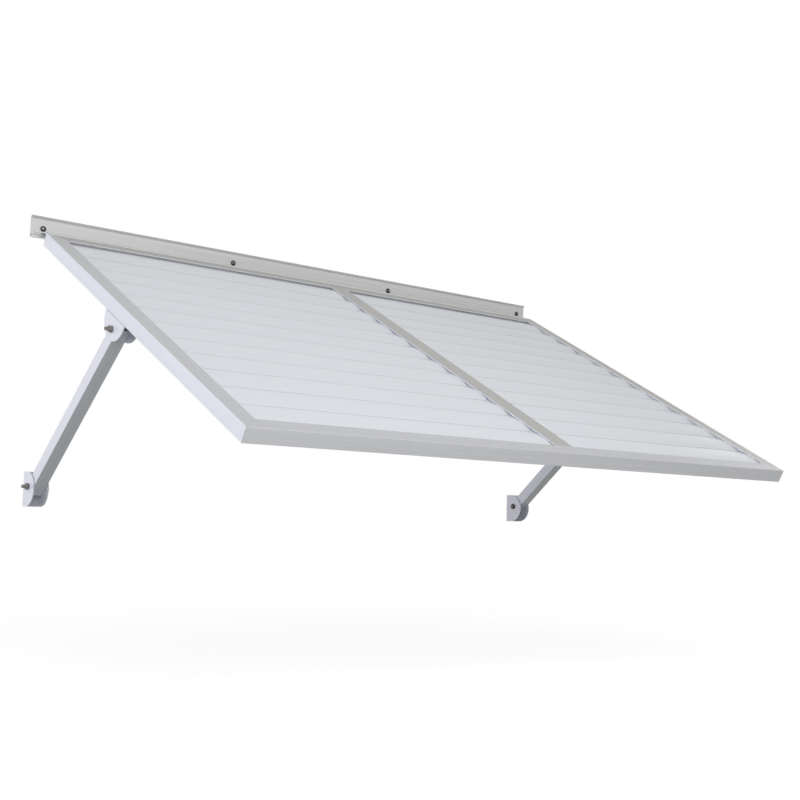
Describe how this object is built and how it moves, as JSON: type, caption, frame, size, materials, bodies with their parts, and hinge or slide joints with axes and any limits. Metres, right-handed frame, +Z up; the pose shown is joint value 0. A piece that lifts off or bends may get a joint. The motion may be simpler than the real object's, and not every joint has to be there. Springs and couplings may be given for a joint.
{
  "type": "slatted wall awning",
  "caption": "Sloping wall awning: a grooved metal frame filled with curved slats, hooked on a wall rail and propped by hinged side struts.",
  "frame": {"origin": "middle of the wall rail's flat back face, on the wall plane", "axes": "+X along the wall rail to the awning's right as seen from the street, +Y into the wall, +Z up"},
  "size_m": [1.537, 0.946, 0.6464],
  "materials": {
    "frame_finish": "satin powder coat, very light grey",
    "slat_finish": "satin powder coat, silver white",
    "cleat_finish": "plain mill finish",
    "fastener_finish": "plain stainless steel"
  },
  "bodies": {
    "rail": {"wall_rail": "frame_finish", "rail_screw_1": "fastener_finish", "rail_screw_2": "fastener_finish", "rail_screw_3": "fastener_finish", "rail_screw_4": "fastener_finish"},
    "roof": {"frame_back": "frame_finish", "frame_front": "frame_finish", "frame_left": "frame_finish", "frame_right": "frame_finish", "centre_bar": "frame_finish", "corner_cleat_back_left": "cleat_finish", "corner_cleat_back_right": "cleat_finish", "corner_cleat_front_left": "cleat_finish", "corner_cleat_front_right": "cleat_finish", "left_slat_01": "slat_finish", "left_slat_02": "slat_finish", "left_slat_03": "slat_finish", "left_slat_04": "slat_finish", "left_slat_05": "slat_finish", "left_slat_06": "slat_finish", "left_slat_07": "slat_finish", "left_slat_08": "slat_finish", "left_slat_09": "slat_finish", "left_slat_10": "slat_finish", "left_slat_11": "slat_finish", "left_slat_12": "slat_finish", "right_slat_01": "slat_finish", "right_slat_02": "slat_finish", "right_slat_03": "slat_finish", "right_slat_04": "slat_finish", "right_slat_05": "slat_finish", "right_slat_06": "slat_finish", "right_slat_07": "slat_finish", "right_slat_08": "slat_finish", "right_slat_09": "slat_finish", "right_slat_10": "slat_finish", "right_slat_11": "slat_finish", "right_slat_12": "slat_finish", "upper_bracket_left": "frame_finish", "upper_bracket_right": "frame_finish", "upper_left_bolt": "fastener_finish", "upper_left_nut": "fastener_finish", "upper_right_bolt": "fastener_finish", "upper_right_nut": "fastener_finish", "bracket_screw_left_1": "fastener_finish", "bracket_screw_left_2": "fastener_finish", "bracket_screw_right_1": "fastener_finish", "bracket_screw_right_2": "fastener_finish"},
    "left_strut": {"strut_left": "frame_finish"},
    "right_strut": {"strut_right": "frame_finish"},
    "left_wall_bracket": {"wall_bracket_left": "frame_finish", "lower_left_bolt": "fastener_finish", "lower_left_nut": "fastener_finish"},
    "right_wall_bracket": {"wall_bracket_right": "frame_finish", "lower_right_bolt": "fastener_finish", "lower_right_nut": "fastener_finish"}
  },
  "joints": [
    {"name": "roof_tilt", "type": "hinge", "parent": "rail", "child": "roof", "pos_m": [0, -0.012, -0.01665], "axis": [1, 0, 0], "range_deg": [-14, 16]},
    {"name": "strut_left_swing", "type": "hinge", "parent": "roof", "child": "left_strut", "pos_m": [-0.7327, -0.39874, -0.2726], "axis": [1, 0, 0], "range_deg": [-102, 26]},
    {"name": "strut_right_swing", "type": "hinge", "parent": "roof", "child": "right_strut", "pos_m": [0.7327, -0.39874, -0.2726], "axis": [1, 0, 0], "range_deg": [-102, 26]},
    {"name": "wall_bracket_left_turn", "type": "hinge", "parent": "left_strut", "child": "left_wall_bracket", "pos_m": [-0.7327, -0.028, -0.57749], "axis": [1, 0, 0], "range_deg": [-120, 45]},
    {"name": "wall_bracket_right_turn", "type": "hinge", "parent": "right_strut", "child": "right_wall_bracket", "pos_m": [0.7327, -0.028, -0.57749], "axis": [1, 0, 0], "range_deg": [-120, 45]}
  ]
}
